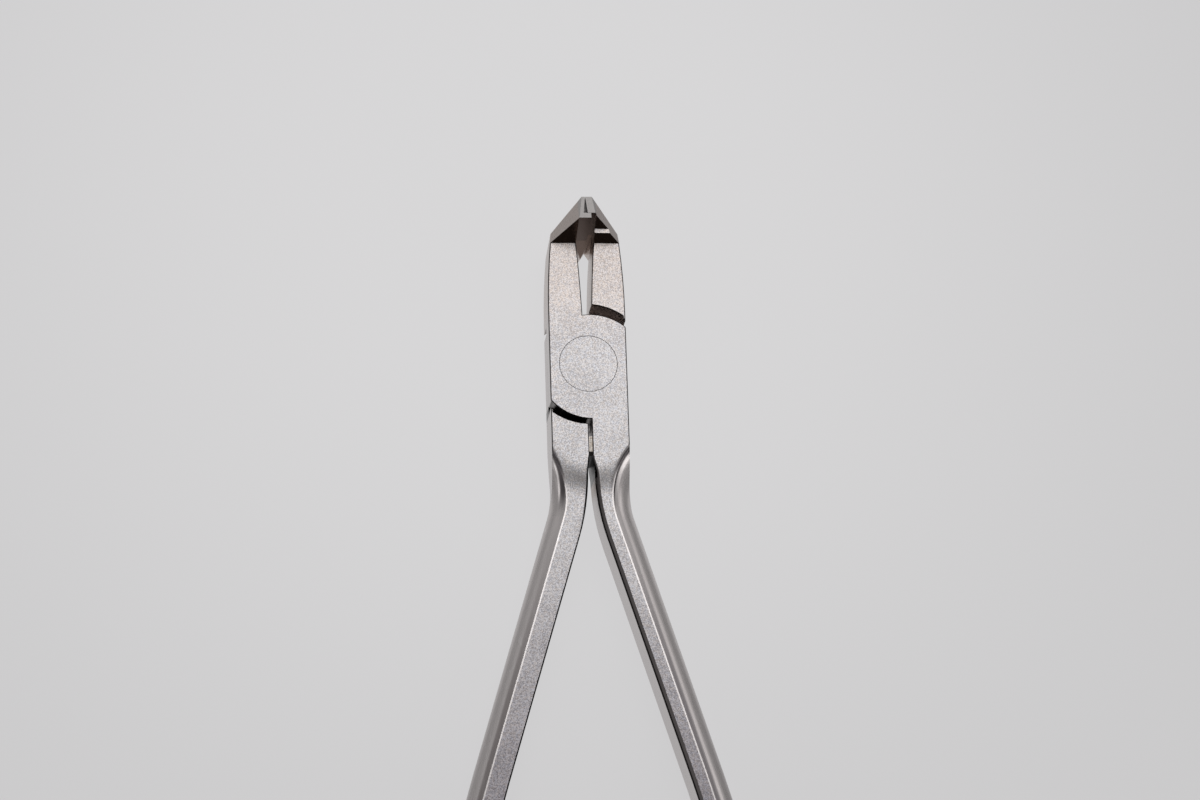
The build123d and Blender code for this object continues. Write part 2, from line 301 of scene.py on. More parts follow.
    def noise(self, vector: Socket, scale: float, detail: float, roughness: float = 0.5) -> Socket:
        """Adds a noise pattern.

        Args:
            vector: The place's socket.
            scale: Patches per metre.
            detail: Octaves of the pattern.
            roughness: Strength of the finer octaves.

        Returns:
            The pattern's socket, from below zero to above, about zero on average.
        """
        node = self.add("ShaderNodeTexNoise")
        self.feed(node.inputs["Vector"], vector)
        self.feed(node.inputs["Scale"], scale)
        self.feed(node.inputs["Detail"], detail)
        self.feed(node.inputs["Roughness"], roughness)
        return self.compute("SUBTRACT", node.outputs["Fac"], PATTERN_MIDDLE)


@dataclass
class EffectShelf:
    """Builds each effect, and the share of each mark, once as a shader node group."""

    detail: float = 2.0
    blast_grain: float = 6200.0
    blast_roughness: float = 0.75
    blast_contrast: float = 4.6
    cloud_patches: float = 160.0
    cloud_share: float = 0.7
    brush_lines: float = 6500.0
    brush_stretch: float = 0.03
    handle_slope: float = 0.21
    handle_start: float = -0.02
    scratch_lines: float = 700.0
    scratch_detail: float = 1.0
    scratch_stretch: float = 0.07
    scratch_level: float = 0.13
    scratch_width: float = 0.008
    scratch_turns: tuple[float, ...] = (0.5, -0.9)
    hue_patches: float = 2600.0
    hue_contrast: float = 2.6
    groups: dict[Effect | Mark, bpy.types.NodeTree] = field(default_factory=dict)

    def new_group(
        self, maker: Effect | Mark, name: str, inputs: dict[str, str]
    ) -> tuple[NodeSheet, bpy.types.Node, bpy.types.Node]:
        """Starts a group that puts out a mask.

        Args:
            maker: The effect or the mark that the group is kept under.
            name: The group's name.
            inputs: The kind of each input, under its name.

        Returns:
            The group's sheet, its input node and its output node.
        """
        group = bpy.data.node_groups.new(name, "ShaderNodeTree")
        for title, kind in inputs.items():
            group.interface.new_socket(title, in_out="INPUT", socket_type=kind)
        group.interface.new_socket("Mask", in_out="OUTPUT", socket_type="NodeSocketFloat")
        sheet = NodeSheet(group)
        self.groups[maker] = group
        return sheet, sheet.add("NodeGroupInput"), sheet.add("NodeGroupOutput")

    def new_effect(self, effect: Effect) -> tuple[NodeSheet, bpy.types.Node, bpy.types.Node]:
        """Starts the group of an effect, which takes a place and a strength."""
        return self.new_group(effect, effect.value, EFFECT_INPUTS)

    def put_out(
        self, sheet: NodeSheet, source: bpy.types.Node, result: bpy.types.Node, pattern: Socket
    ) -> None:
        """Puts a pattern out as a mask about its middle, by the group's strength.

        Args:
            sheet: The group's sheet.
            source: The group's input node.
            result: The group's output node.
            pattern: The pattern's socket, about zero on average.
        """
        mask = sheet.compute("MULTIPLY_ADD", pattern, source.outputs["Strength"], PATTERN_MIDDLE)
        sheet.feed(result.inputs["Mask"], mask)

    def build_blast(self) -> None:
        """Builds the grain of a fine bead blast, with a faint drift between patches."""
        sheet, source, result = self.new_effect(Effect.BLAST)
        place = source.outputs["Place"]
        grain = sheet.noise(place, self.blast_grain, self.detail, self.blast_roughness)
        cloud = sheet.noise(place, self.cloud_patches, self.detail)
        strong = sheet.compute("MULTIPLY", grain, self.blast_contrast)
        drift = sheet.compute("MULTIPLY", cloud, self.cloud_share)
        self.put_out(sheet, source, result, sheet.compute("ADD", strong, drift))

    def build_brush(self) -> None:
        """Builds the lines of a lengthwise polish, which follow the lean of the handles."""
        sheet, source, result = self.new_effect(Effect.BRUSH)
        across, along, up = sheet.split(source.outputs["Place"])
        below = sheet.compute("MINIMUM", sheet.compute("SUBTRACT", along, self.handle_start), 0.0)
        lean = sheet.compute("MULTIPLY", sheet.compute("SIGN", across), self.handle_slope)
        straight = sheet.compute("MULTIPLY_ADD", below, lean, across)
        drawn = sheet.stretched(sheet.join(straight, along, up), (1.0, self.brush_stretch, 1.0))
        self.put_out(sheet, source, result, sheet.noise(drawn, self.brush_lines, self.detail))

    def build_scratch(self) -> None:
        """Builds a few hair-thin scratches that run across each other."""
        sheet, source, result = self.new_effect(Effect.SCRATCH)
        lines = []
        for turn in self.scratch_turns:
            drawn = sheet.stretched(source.outputs["Place"], (1.0, self.scratch_stretch, 1.0), turn)
            pattern = sheet.noise(drawn, self.scratch_lines, self.scratch_detail)
            away = sheet.compute("ABSOLUTE", sheet.compute("SUBTRACT", pattern, self.scratch_level))
            lines.append(sheet.step(away, fall(0.0, self.scratch_width)))
        both = sheet.compute("MAXIMUM", *lines)
        sheet.feed(result.inputs["Mask"], sheet.product(both, source.outputs["Strength"]))

    def build_hue(self) -> None:
        """Builds small patches that share out a warm and a cool hue."""
        sheet, source, result = self.new_effect(Effect.HUE)
        patches = sheet.noise(source.outputs["Place"], self.hue_patches, self.detail)
        self.put_out(sheet, source, result, sheet.compute("MULTIPLY", patches, self.hue_contrast))

    def build(self) -> None:
        """Builds all the shared effects."""
        self.build_blast()
        self.build_brush()
        self.build_scratch()
        self.build_hue()

    def use(self, sheet: NodeSheet, effect: Effect, place: Socket, strength: float) -> Socket:
        """Places an effect in a material.

        Args:
            sheet: The material's sheet.
            effect: The effect.
            place: The socket that gives the place on the piece.
            strength: The effect's strength there.

        Returns:
            The socket of the effect's mask.
        """
        node = sheet.add("ShaderNodeGroup", node_tree=self.groups[effect])
        sheet.feed(node.inputs["Place"], place)
        sheet.feed(node.inputs["Strength"], strength)
        return node.outputs["Mask"]

    def build_share(self, mark: Mark) -> None:
        """Builds the group that finds where a mark lies.

        Args:
            mark: The mark, with a white tint.
        """
        sheet, source, result = self.new_group(mark, type(mark).__name__, MARK_INPUTS)
        surface = Surface.read(sheet, source.outputs["Place"], source.outputs["Facing"])
        sheet.feed(result.inputs["Mask"], mark.share(sheet, surface))

    def use_share(self, sheet: NodeSheet, mark: Mark, place: Socket, facing: Socket) -> Socket:
        """Places the group that finds where a mark lies, which marks of any tint share.

        Args:
            sheet: The material's sheet.
            mark: The mark.
            place: The socket that gives the place on the piece.
            facing: The socket that gives the facing there.

        Returns:
            The socket of the mark's share.
        """
        untinted = replace(mark, tint=WHITE)
        if untinted not in self.groups:
            self.build_share(untinted)
        node = sheet.add("ShaderNodeGroup", node_tree=self.groups[untinted])
        sheet.feed(node.inputs["Place"], place)
        sheet.feed(node.inputs["Facing"], facing)
        return node.outputs["Mask"]


@dataclass(frozen=True)
class Surface:
    """What a mark reads at each point of a piece: its place and its facing.

    Lying is one on level faces, whether they look up or down, and zero on upright walls.
    """

    across: Socket
    along: Socket
    up: Socket
    facing_across: Socket
    facing_along: Socket
    lying: Socket

    @classmethod
    def read(cls, sheet: NodeSheet, place: Socket, facing: Socket) -> Surface:
        """Reads a place and a facing.

        Args:
            sheet: The sheet to work on.
            place: The socket that gives the place on the piece.
            facing: The socket that gives the facing there.

        Returns:
            The sockets of what is read.
        """
        across, along, up = sheet.split(place)
        facing_across, facing_along, facing_up = sheet.split(facing)
        lying = sheet.compute("ABSOLUTE", facing_up)
        return cls(across, along, up, facing_across, facing_along, lying)


@dataclass(frozen=True)
class Mark:
    """A tint that multiplies the steel's colour over part of a piece."""

    tint: Triple

    def share(self, sheet: NodeSheet, surface: Surface) -> Socket:
        """Finds where the mark lies.

        Args:
            sheet: The group's sheet.
            surface: The place and the facing at each point.

        Returns:
            The socket of the mark's share.
        """
        raise NotImplementedError


@dataclass(frozen=True)
class WallHeatTintAndShade(Mark):
    """Brown heat tint from the braze, darkened as painted shade, on the walls that face the handles and
    away from the light.
    """

    tint: Triple = (0.24, 0.18, 0.15)
    facing_step: Step = fall(-0.8, -0.6)
    start_step: Step = Step(0.0, 0.001)

    def share(self, sheet: NodeSheet, surface: Surface) -> Socket:
        """Finds the walls that face the handles, from the pivot on.

        Args:
            sheet: The group's sheet.
            surface: The place and the facing at each point.

        Returns:
            The socket of the mark's share.
        """
        return sheet.product(
            sheet.step(surface.facing_along, self.facing_step), sheet.step(surface.along, self.start_step)
        )


@dataclass(frozen=True)
class LapGapShade(Mark):
    """Painted shade in the gap below the lap plate, on its wall and at its foot."""

    tint: Triple = (0.05, 0.04, 0.035)
    centre: Triple = (0.00045, -0.0004, 0.0)
    reach_step: Step = Step(0.00796, 0.00800)
    end_step: Step = fall(0.0088, 0.0091)
    below_pivot_step: Step = fall(-0.0045, -0.0035)
    face_step: Step = fall(0.0069, 0.0071)

    def share(self, sheet: NodeSheet, surface: Surface) -> Socket:
        """Finds the walls and the foot of the gap.

        Args:
            sheet: The group's sheet.
            surface: The place and the facing at each point.

        Returns:
            The socket of the mark's share.
        """
        away = sheet.distance(sheet.join(surface.across, surface.along, 0.0), self.centre)
        return sheet.product(
            sheet.step(away, self.reach_step),
            sheet.step(away, self.end_step),
            sheet.step(surface.along, self.below_pivot_step),
            sheet.step(surface.up, self.face_step),
        )


@dataclass(frozen=True)
class JawWarmth(Mark):
    """A faint straw tint that grows towards the brazed head."""

    tint: Triple = (1.0, 0.945, 0.90)
    along_step: Step = Step(0.002, 0.012)

    def share(self, sheet: NodeSheet, surface: Surface) -> Socket:
        """Finds the jaws.

        Args:
            sheet: The group's sheet.
            surface: The place and the facing at each point.

        Returns:
            The socket of the mark's share.
        """
        return sheet.step(surface.along, self.along_step)


@dataclass(frozen=True)
class ChamferShade(Mark):
    """Painted shade on the chamfer along the inner edge of one handle, where it reflects the dark side of
    the other handle.
    """

    tint: Triple = (0.09, 0.085, 0.085)
    side: float = 1.0
    side_step: Step = Step(0.0, 0.0001)
    up_step: Step = fall(0.0080, 0.0081)
    inward_step: Step = Step(0.35, 0.5)
    lying_step: Step = fall(0.9, 0.97)
    rising_step: Step = Step(0.3, 0.5)
    start_step: Step = fall(-0.0142, -0.0138)

    def share(self, sheet: NodeSheet, surface: Surface) -> Socket:
        """Finds the slanted faces that look at the other handle.

        Args:
            sheet: The group's sheet.
            surface: The place and the facing at each point.

        Returns:
            The socket of the mark's share.
        """
        outward = sheet.compute("MULTIPLY", surface.across, self.side)
        facing_inward = sheet.compute("MULTIPLY", surface.facing_across, -self.side)
        return sheet.product(
            sheet.step(outward, self.side_step),
            sheet.step(surface.up, self.up_step),
            sheet.step(surface.along, self.start_step),
            sheet.step(facing_inward, self.inward_step),
            sheet.step(surface.lying, self.rising_step),
            sheet.step(surface.lying, self.lying_step),
        )


@dataclass(frozen=True)
class SlotShadeAndSheen(Mark):
    """A tint on the walls and the floor of the narrow slot between the two handles: painted shade where it
    is dark, and a painted reflection where it is pale.
    """

    start: float
    end: float
    half_width: float
    softness: float = 0.0002
    mid_height: float = 0.0036
    depth_step: Step = fall(0.0033, 0.0035)

    def share(self, sheet: NodeSheet, surface: Surface) -> Socket:
        """Finds the marked length of the slot.

        Args:
            sheet: The group's sheet.
            surface: The place and the facing at each point.

        Returns:
            The socket of the mark's share.
        """
        beside = sheet.compute("ABSOLUTE", surface.across)
        off_middle = sheet.compute("ABSOLUTE", sheet.compute("SUBTRACT", surface.up, self.mid_height))
        return sheet.product(
            sheet.step(surface.along, Step(self.end, self.end + self.softness)),
            sheet.step(surface.along, fall(self.start - self.softness, self.start)),
            sheet.step(beside, fall(self.half_width, self.half_width + self.softness / 2)),
            sheet.step(off_middle, self.depth_step),
        )


@dataclass(frozen=True)
class EdgeShade(Mark):
    """Painted shade along the broken edges of the joint, on their narrow slanted faces."""

    tint: Triple = (0.15, 0.145, 0.145)
    rising_step: Step = Step(0.66, 0.68)
    lying_step: Step = fall(0.74, 0.76)
    start_step: Step = Step(-0.0145, -0.0135)

    def share(self, sheet: NodeSheet, surface: Surface) -> Socket:
        """Finds the narrow slanted faces of the joint's edges.

        Args:
            sheet: The group's sheet.
            surface: The place and the facing at each point.

        Returns:
            The socket of the mark's share.
        """
        return sheet.product(
            sheet.step(surface.lying, self.rising_step),
            sheet.step(surface.lying, self.lying_step),
            sheet.step(surface.along, self.start_step),
        )


@dataclass(frozen=True)
class NeckBand(Mark):
    """A band on an arc, where the joint rolls over into a handle: painted shade where it is dark, a
    painted highlight where it is bright.
    """

    side: float = 1.0
    centre: Triple = (0.01423, -0.0200, 0.0)
    near: float = 0.0112
    far: float = 0.0118
    softness: float = 0.0001
    far_softness: float = 0.0001
    start_step: Step = fall(-0.0125, -0.0115)
    end_step: Step = Step(-0.0205, -0.0175)
    lying_step: Step = Step(0.2, 0.3)

    def share(self, sheet: NodeSheet, surface: Surface) -> Socket:
        """Finds the band on one side, on the faces that look up or down.

        Args:
            sheet: The group's sheet.
            surface: The place and the facing at each point.

        Returns:
            The socket of the mark's share.
        """
        outward = sheet.compute("MULTIPLY", surface.across, self.side)
        away = sheet.distance(sheet.join(outward, surface.along, 0.0), self.centre)
        return sheet.product(
            sheet.step(away, Step(self.near, self.near + self.softness)),
            sheet.step(away, fall(self.far - self.far_softness, self.far)),
            sheet.step(surface.along, self.start_step),
            sheet.step(surface.along, self.end_step),
            sheet.step(surface.lying, self.lying_step),
        )


@dataclass(frozen=True)
class SideLine(Mark):
    """A painted dark line of shade on the face along the outline of one side of the joint and the jaws.

    The outline is straight beside the joint, and an arc of a wide radius beside the jaw.
    """

    tint: Triple = (0.42, 0.41, 0.42)
    side: float = 1.0
    half_width: float = 0.00566
    taper_start: float = 0.008
    taper_radius: float = 0.1043
    width: float = 0.00022
    end_step: Step = Step(-0.0135, -0.0125)
    lying_step: Step = Step(0.985, 0.99)

    def share(self, sheet: NodeSheet, surface: Surface) -> Socket:
        """Finds the line on the flat faces.

        Args:
            sheet: The group's sheet.
            surface: The place and the facing at each point.

        Returns:
            The socket of the mark's share.
        """
        outward = sheet.compute("MULTIPLY", surface.across, self.side)
        beyond = sheet.compute("SUBTRACT", surface.along, self.taper_start)
        past_joint = sheet.compute("MAXIMUM", beyond, 0.0)
        drop = sheet.compute("DIVIDE", sheet.product(past_joint, past_joint), 2 * self.taper_radius)
        inset = sheet.compute("SUBTRACT", self.half_width, sheet.compute("ADD", outward, drop))
        return sheet.product(
            sheet.step(inset, fall(self.width / 2, self.width)),
            sheet.step(surface.lying, self.lying_step),
            sheet.step(surface.along, self.end_step),
        )


@dataclass(frozen=True)
class TiltBand(Mark):
    """A band along one handle, on the faces with a certain tilt: painted shade where it is dark, a painted
    highlight where it is bright.
    """

    side: float = 1.0
    side_step: Step = Step(0.0, 0.0001)
    rising_step: Step = Step(0.9880, 0.9892)
    lying_step: Step = fall(0.9914, 0.9924)
    outward_step: Step = Step(0.0, 0.1)
    start_step: Step = fall(-0.0190, -0.0160)

    def share(self, sheet: NodeSheet, surface: Surface) -> Socket:
        """Finds the faces with the tilt, from the neck on.

        Args:
            sheet: The group's sheet.
            surface: The place and the facing at each point.

        Returns:
            The socket of the mark's share.
        """
        outward = sheet.compute("MULTIPLY", surface.across, self.side)
        facing_outward = sheet.compute("MULTIPLY", surface.facing_across, self.side)
        return sheet.product(
            sheet.step(outward, self.side_step),
            sheet.step(surface.along, self.start_step),
            sheet.step(facing_outward, self.outward_step),
            sheet.step(surface.lying, self.rising_step),
            sheet.step(surface.lying, self.lying_step),
        )


@dataclass(frozen=True)
class HandleEndShade(Mark):
    """Painted shade, a little cool, that darkens the flat faces towards the ends of the handles."""

    tint: Triple = (0.66, 0.635, 0.67)
    along_step: Step = fall(-0.075, -0.018)
    lying_step: Step = Step(0.9925, 0.9935)

    def share(self, sheet: NodeSheet, surface: Surface) -> Socket:
        """Finds the flat faces of the handles.

        Args:
            sheet: The group's sheet.
            surface: The place and the facing at each point.

        Returns:
            The socket of the mark's share.
        """
        return sheet.product(
            sheet.step(surface.along, self.along_step), sheet.step(surface.lying, self.lying_step)
        )


@dataclass(frozen=True)
class SteelFinish:
    """Satin steel: blasted on its flat faces and polished lengthwise on its rounds."""

    name: str
    light: Triple = (0.80, 0.785, 0.79)
    dark: Triple = (0.35, 0.335, 0.34)
    round_light: Triple = (0.635, 0.60, 0.59)
    round_dark: Triple = (0.49, 0.46, 0.45)
    scratched: Triple = (0.82, 0.81, 0.81)
    warm: Triple = (1.0, 0.955, 0.91)
    cool: Triple = (0.93, 0.955, 1.0)
    flat_roughness: float = 0.36
    round_roughness: float = 0.25
    grain_strength: float = 1.0
    scratch_strength: float = 0.25
    bump_strength: float = 0.35
    bump_height: float = 0.000004
    roughness_grain: float = 0.06
    flat_step: Step = Step(0.988, 0.996)

    def steel_colour(self, sheet: NodeSheet, flat: Socket, blast: Socket, brush: Socket) -> Socket:
        """Blends the blasted steel of the flat faces with the polished steel of the rounds.

        Args:
            sheet: The material's sheet.
            flat: The share of the flat faces.
            blast: The mask of the blast.
            brush: The mask of the polish.

        Returns:
            The socket of the colour.
        """
        blasted = sheet.blend(blast, self.dark, self.light)
        polished = sheet.blend(brush, self.round_dark, self.round_light)
        return sheet.blend(flat, polished, blasted)

    def material(self, shelf: EffectShelf, marks: tuple[Mark, ...]) -> bpy.types.Material:
        """Builds the finish's material.

        Args:
            shelf: The shared effects.
            marks: The marks on the steel, in the order in which they are laid.

        Returns:
            The new material.
        """
        material = bpy.data.materials.new(self.name)
        material.use_nodes = True
        sheet = NodeSheet(material.node_tree)
        shader = material.node_tree.nodes["Principled BSDF"]
        coordinates = sheet.add("ShaderNodeTexCoord").outputs
        place = coordinates["Object"]
        facing = coordinates["Normal"]
        lying = sheet.compute("ABSOLUTE", sheet.split(facing)[2])
        flat = sheet.step(lying, self.flat_step)

        blast = shelf.use(sheet, Effect.BLAST, place, self.grain_strength)
        brush = shelf.use(sheet, Effect.BRUSH, place, self.grain_strength)
        scratch = shelf.use(sheet, Effect.SCRATCH, place, self.scratch_strength)
        hue = shelf.use(sheet, Effect.HUE, place, self.grain_strength)
        steel = self.steel_colour(sheet, flat, blast, brush)
        steel = sheet.blend(flat, steel, sheet.blend(hue, self.warm, self.cool), "MULTIPLY")
        steel = sheet.blend(scratch, steel, self.scratched)
        for mark in marks:
            share = shelf.use_share(sheet, mark, place, facing)
            steel = sheet.blend(share, steel, mark.tint, "MULTIPLY")
        sheet.feed(shader.inputs["Base Color"], steel)
        sheet.feed(shader.inputs["Metallic"], 1.0)
        grain = sheet.blend_number(flat, brush, blast)
        plain = sheet.blend_number(flat, self.round_roughness, self.flat_roughness)
        sheet.feed(
            shader.inputs["Roughness"], sheet.compute("MULTIPLY_ADD", grain, self.roughness_grain, plain)
        )

        bump = sheet.add("ShaderNodeBump")
        sheet.feed(bump.inputs["Strength"], self.bump_strength)
        sheet.feed(bump.inputs["Distance"], self.bump_height)
        sheet.feed(bump.inputs["Height"], grain)
        sheet.feed(shader.inputs["Normal"], bump.outputs["Normal"])
        return material


@dataclass
class SubAssembly:
    """A group of pieces that share one finish and its marks."""

    finish: SteelFinish
    pieces: tuple[Piece, ...]

    def marks(self) -> tuple[Mark, ...]:
        """Lists the marks on the pieces, in the order in which they are laid."""
        raise NotImplementedError

    def dress(self, frame: dict, shelf: EffectShelf) -> None:
        """Gives the pieces their finish.

        Args:
            frame: The loaded frame, with its node objects.
            shelf: The shared effects.
        """
        material = self.finish.material(shelf, self.marks())
        for piece in self.pieces:
            node = frame["nodes"][piece.value]
            node.data.materials.clear()
            node.data.materials.append(material)
            LOG.info("%s: %s is dressed in %s", type(self).__name__, piece.value, self.finish.name)


@dataclass
class ArmPair(SubAssembly):
    """The two arms, each a jaw, half of the lap joint and a handle.

    A mark that has a side lies on the right of the pliers, unless its side is -1.
    """

    finish: SteelFinish = SteelFinish(name="satin arm steel")
    pieces: tuple[Piece, ...] = (Piece.FRONT_ARM, Piece.BACK_ARM)
    # Heat tint with painted shade on the walls, painted shade in the lap gap, a straw tint on the jaws,
    # painted shade on the joint's edges, and painted dark lines along both sides.
    joint_marks: tuple[Mark, ...] = (
        WallHeatTintAndShade(),
        LapGapShade(),
        JawWarmth(),
        EdgeShade(),
        SideLine(),
        SideLine(side=-1.0),
    )
    # Painted shade on the chamfers of the right and the left handle, and a painted dark line of shade on
    # the left one's inner edge.
    inner_edge_marks: tuple[Mark, ...] = (
        ChamferShade(tint=(0.32, 0.31, 0.31)),
        ChamferShade(tint=grey(0.12), up_step=fall(0.00640, 0.00652)),
        ChamferShade(tint=(0.05, 0.048, 0.048), side=-1.0),
        NeckBand(
            tint=(0.08, 0.076, 0.08),
            side=-1.0,
            centre=(0.0345, -0.0160, 0.0),
            near=0.03364,
            far=0.0342,
            start_step=fall(-0.0175, -0.0145),
            end_step=Step(-0.0260, -0.0205),
        ),
    )
    # After the painted shade towards the handles' ends, the first two bands are painted highlights on the
    # narrow bevels of the creases; the others, painted shades and a painted highlight, lie on the rounds.
    handle_marks: tuple[Mark, ...] = (
        HandleEndShade(),
        TiltBand(tint=grey(1.36)),
        TiltBand(tint=grey(1.36), side=-1.0),
        TiltBand(
            tint=(0.52, 0.51, 0.53),
            rising_step=Step(0.865, 0.905),
            lying_step=fall(0.955, 0.965),
            start_step=fall(-0.0520, -0.0180),
        ),
        TiltBand(
            tint=(1.25, 1.24, 1.24),
            rising_step=Step(0.79, 0.84),
            lying_step=fall(0.86, 0.89),
        ),
        TiltBand(
            tint=(0.58, 0.56, 0.56),
            side=-1.0,
            rising_step=Step(0.80, 0.86),
            lying_step=fall(0.90, 0.965),
            start_step=fall(-0.0560, -0.0220),
        ),
    )
    # Painted shades and a painted highlight along each crease, where a handle begins.
    right_neck_marks: tuple[Mark, ...] = (
        NeckBand(
            tint=(0.6, 0.59, 0.6),
            far=0.0120,
            far_softness=0.0006,
            lying_step=Step(0.985, 0.99),
        ),
        NeckBand(tint=(0.25, 0.24, 0.25), near=0.0109, far=0.0112, end_step=Step(-0.0225, -0.0185)),
        NeckBand(tint=(0.28, 0.27, 0.28), near=0.0111, far=0.0115, end_step=Step(-0.0170, -0.0150)),
        NeckBand(
            tint=grey(1.7),
            near=0.0103,
            far=0.0109,
            softness=0.0002,
            end_step=Step(-0.0210, -0.0170),
        ),
    )
    left_neck_marks: tuple[Mark, ...] = (
        NeckBand(
            tint=(0.26, 0.25, 0.26),
            side=-1.0,
            centre=LEFT_CREASE_CENTRE,
            near=0.0118,
            far=0.0127,
            far_softness=0.0004,
            end_step=Step(-0.0225, -0.0190),
        ),
        NeckBand(
            tint=grey(1.8),
            side=-1.0,
            centre=LEFT_CREASE_CENTRE,
            near=0.01153,
            far=0.0118,
            start_step=fall(-0.0145, -0.0135),
            end_step=Step(-0.0210, -0.0190),
        ),
    )
    # A pale painted reflection on the face of the stop, painted shade below it, and brown painted shade
    # deeper between the handles.
    slot_marks: tuple[Mark, ...] = (
        SlotShadeAndSheen(tint=(0.98, 0.92, 0.82), start=-0.0109, end=-0.0139, half_width=0.00024),
        SlotShadeAndSheen(tint=(0.03, 0.028, 0.028), start=-0.0131, end=-0.0172, half_width=0.0008),
        SlotShadeAndSheen(
            tint=(0.60, 0.52, 0.45),
            start=-0.0140,
            end=-0.0200,
            half_width=0.0025,
            softness=0.002,
            depth_step=fall(0.0027, 0.0029),
        ),
    )

    def marks(self) -> tuple[Mark, ...]:
        """Lists the marks from the jaws to the handles."""
        necks = self.right_neck_marks + self.left_neck_marks
        return self.joint_marks + self.inner_edge_marks + self.handle_marks + necks + self.slot_marks


@dataclass
class InsertPair(SubAssembly):
    """The two brazed shear inserts."""

    finish: SteelFinish = SteelFinish(
        name="ground insert steel",
        light=(0.60, 0.58, 0.57),
        dark=(0.44, 0.425, 0.415),
        round_light=(0.56, 0.54, 0.525),
        round_dark=(0.46, 0.44, 0.425),
        grain_strength=0.6,
        scratch_strength=0.1,
    )
    pieces: tuple[Piece, ...] = (Piece.LEFT_INSERT, Piece.RIGHT_INSERT)
    # Heat tint from the braze, darkened as painted shade, on the walls that face the handles.
    braze_tint_and_shade: Mark = WallHeatTintAndShade(tint=(0.18, 0.13, 0.11))

    def marks(self) -> tuple[Mark, ...]:
        """Lists the heat tint and its painted shade alone."""
        return (self.braze_tint_and_shade,)


@dataclass
class Pivot(SubAssembly):
    """The flush bolt and the screw that closes it from the back."""

    finish: SteelFinish = SteelFinish(name="satin pivot steel", scratch_strength=0.4)
    pieces: tuple[Piece, ...] = (Piece.PIVOT_BOLT, Piece.PIVOT_SCREW)
    rim_shade: Mark = EdgeShade(tint=(0.07, 0.068, 0.068))

    def marks(self) -> tuple[Mark, ...]:
        """Lists the dark line at the rims alone."""
        return (self.rim_shade,)


@dataclass(frozen=True)
class Card:
    """A soft patch of light in the room, in one direction as seen from the pliers."""

    direction: Triple
    spread: Step

    def level(self, sheet: NodeSheet, towards: Socket) -> Socket:
        """Finds the light that the patch sends from each direction.

        Args:
            sheet: The world's sheet.
            towards: The socket of the direction.

        Returns:
            The socket of the light's level.
        """
        away = sheet.distance(towards, tuple(Vector(self.direction).normalized()))
        return sheet.step(away, self.spread)


@dataclass(frozen=True)
class Lens:
    """The camera's place, its turn in degrees, and its lens in millimetres."""

    place: Triple = (-0.05183, -0.14852, 0.46601)
    turn: Triple = (17.399, -6.0701, -1.8157)
    focal_length: float = 100.0
    sensor_width: float = 36.0

    def build(self) -> None:
        """Sets the camera above the table, a little to the left and towards the handles."""
        lens = bpy.data.cameras.new("camera")
        lens.lens = self.focal_length
        lens.sensor_width = self.sensor_width
        camera = bpy.data.objects.new("camera", lens)
        camera.location = self.place
        camera.rotation_euler = [radians(angle) for angle in self.turn]
        bpy.context.scene.collection.objects.link(camera)
        bpy.context.scene.camera = camera


@dataclass(frozen=True)
class Table:
    """A plain pale table that dims away from a soft pool of light.

    In reflections it also dims on both sides of the pliers, where they shade it.
    """

    half_width: float = 1.5
    colour: Triple = (0.730, 0.724, 0.731)
    roughness: float = 0.9
    specular: float = 0.1
    glow: float = 0.88
    pool_centre: Triple = (-0.008, 0.032, 0.0)
    pool: Step = Step(0.02, 0.14, 1.0, 0.87)
    surroundings: Step = Step(0.14, 0.5, 1.0, 0.65)
    handle_spread: float = 0.17
    shade_border: Step = Step(0.008, 0.016)
    shade_sides: Step = Step(-0.005, 0.005, 0.36, 0.50)

    def reflected_level(self, sheet: NodeSheet, place: Socket) -> Socket:
        """Finds how bright the table is in reflections, beside its plain level.

        Args:
            sheet: The material's sheet.
            place: The socket of the place on the table.

        Returns:
            The socket of the level.
        """
        across, along, _ = sheet.split(place)
        widening = sheet.compute("MULTIPLY", along, self.handle_spread)
        outward = sheet.compute("ADD", sheet.compute("ABSOLUTE", across), widening)
        shade = sheet.product(
            sheet.step(outward, self.shade_border), sheet.step(across, self.shade_sides)
        )
        return sheet.compute("SUBTRACT", 1.0, shade)

    def build(self) -> None:
        """Lays the table and gives it its material."""
        bpy.ops.mesh.primitive_plane_add(size=2 * self.half_width, location=(0, 0, 0))
        table = bpy.context.active_object
        table.name = "table"
        material = bpy.data.materials.new("pale table")
        material.use_nodes = True
        sheet = NodeSheet(material.node_tree)
        board = material.node_tree.nodes["Principled BSDF"]
        sheet.feed(board.inputs["Base Color"], self.colour)
        sheet.feed(board.inputs["Roughness"], self.roughness)
        sheet.feed(board.inputs["Specular IOR Level"], self.specular)

        place = sheet.add("ShaderNodeTexCoord").outputs["Object"]
        away = sheet.distance(place, self.pool_centre)
        path = sheet.add("ShaderNodeLightPath").outputs
        level = sheet.product(sheet.step(away, self.pool), sheet.step(away, self.surroundings))
        reflected = sheet.blend_number(path["Is Glossy Ray"], 1.0, self.reflected_level(sheet, place))
        light = sheet.add("ShaderNodeEmission")
        sheet.feed(light.inputs["Color"], self.colour)
        sheet.feed(light.inputs["Strength"], sheet.product(level, reflected))

        seen = sheet.compute("MAXIMUM", path["Is Camera Ray"], path["Is Glossy Ray"])
        mix = sheet.add("ShaderNodeMixShader")
        sheet.feed(mix.inputs[0], sheet.compute("MULTIPLY", seen, self.glow))
        sheet.feed(mix.inputs[1], board.outputs[0])
        sheet.feed(mix.inputs[2], light.outputs[0])
        sheet.feed(material.node_tree.nodes["Material Output"].inputs["Surface"], mix.outputs[0])
        table.data.materials.append(material)


